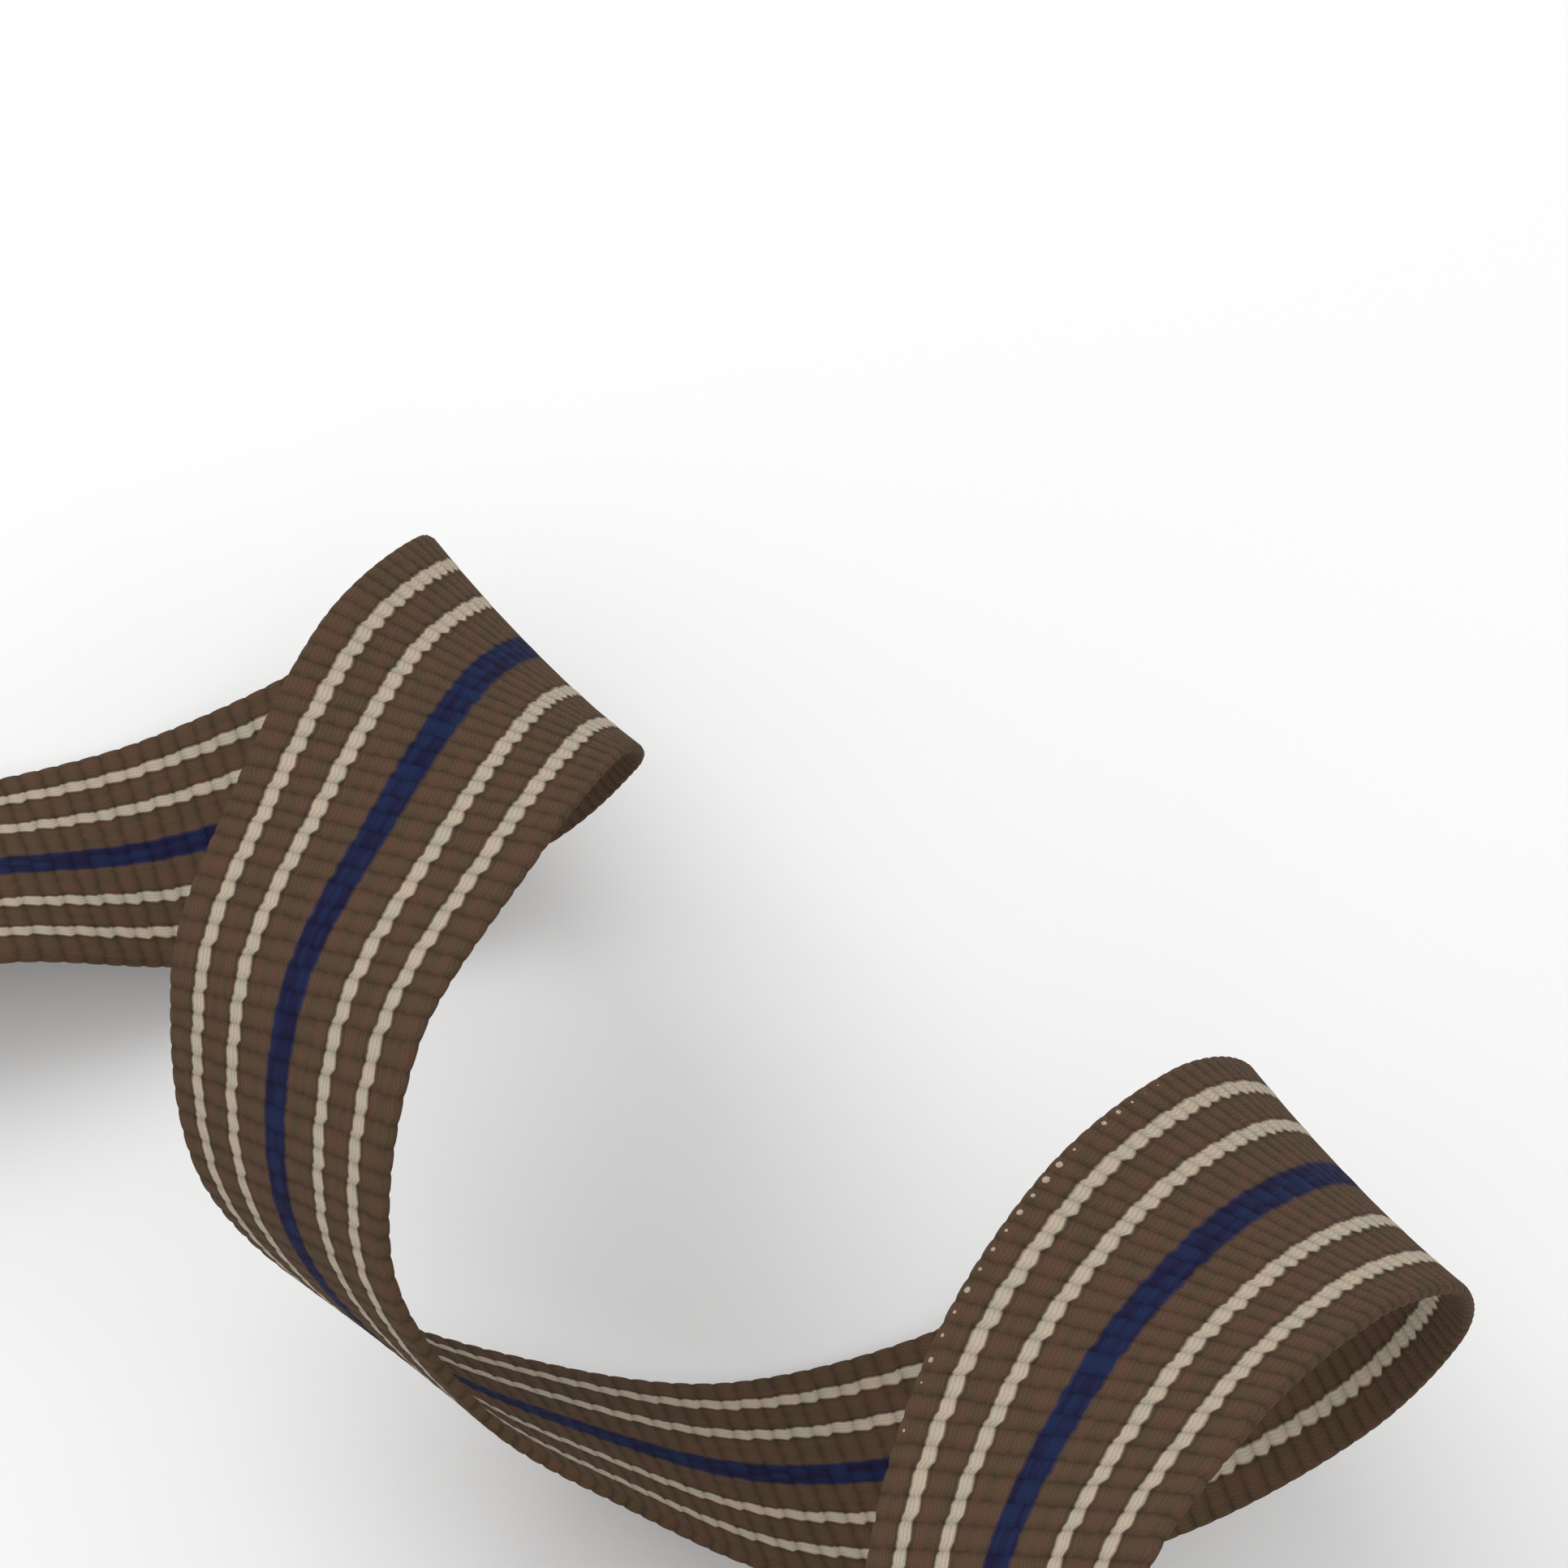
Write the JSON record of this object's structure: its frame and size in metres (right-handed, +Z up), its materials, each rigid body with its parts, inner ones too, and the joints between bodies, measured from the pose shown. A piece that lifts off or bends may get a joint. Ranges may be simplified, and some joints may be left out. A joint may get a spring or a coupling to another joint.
{
  "type": "gait belt",
  "caption": "Striped cotton webbing belt lying in a loose spiral, with a toothed cam buckle sewn into one end and a crimped metal tip on the other.",
  "frame": {"origin": "bottom centre of the bounding box of the belt as it lies, on the surface it rests on", "axes": "+Z up; the belt's buckle end points along -X and lies towards +Y; +X is the longest extent, the spiral's loops lie towards +X"},
  "size_m": [0.563, 0.3348, 0.1645],
  "materials": {
    "webbing": "matte woven",
    "thread": "matte",
    "label": "satin woven",
    "nickel": "polished nickel plate",
    "spring_steel": "satin"
  },
  "bodies": {
    "strap": {"strap_fold": "webbing", "strap_buckle_run": "webbing", "strap_low_arch": "webbing", "strap_loop_1_foot": "webbing", "strap_loop_1_rise": "webbing", "strap_loop_1_crown": "webbing", "strap_loop_1_fall": "webbing", "strap_loop_2_foot": "webbing", "strap_loop_2_rise": "webbing", "strap_loop_2_side": "webbing", "strap_loop_2_crown": "webbing", "strap_last_fall": "webbing", "strap_landing": "webbing", "strap_tip_run": "webbing", "strap_tip_end": "webbing", "box_stitch_top": "thread", "box_stitch_under": "thread", "label_stitch": "thread", "care_label": "label", "belt_tip": "nickel", "tip_rivets": "nickel"},
    "buckle": {"buckle_frame": "nickel", "web_bar": "nickel", "cam_pin": "nickel", "cam_spring": "spring_steel"},
    "cam": {"toothed_cam": "nickel"}
  },
  "joints": [
    {"name": "buckle_swing", "type": "hinge", "parent": "strap", "child": "buckle", "pos_m": [-0.2215, 0.094, 0.0046], "axis": [0, 1, 0], "range_deg": [0, 110]},
    {"name": "cam_hinge", "type": "hinge", "parent": "buckle", "child": "cam", "pos_m": [-0.24778, 0.094, 0.01047], "axis": [0, 1, 0], "range_deg": [0, 60], "stiffness_Nm_per_rad": 0.05, "springref_deg": -20.05}
  ]
}
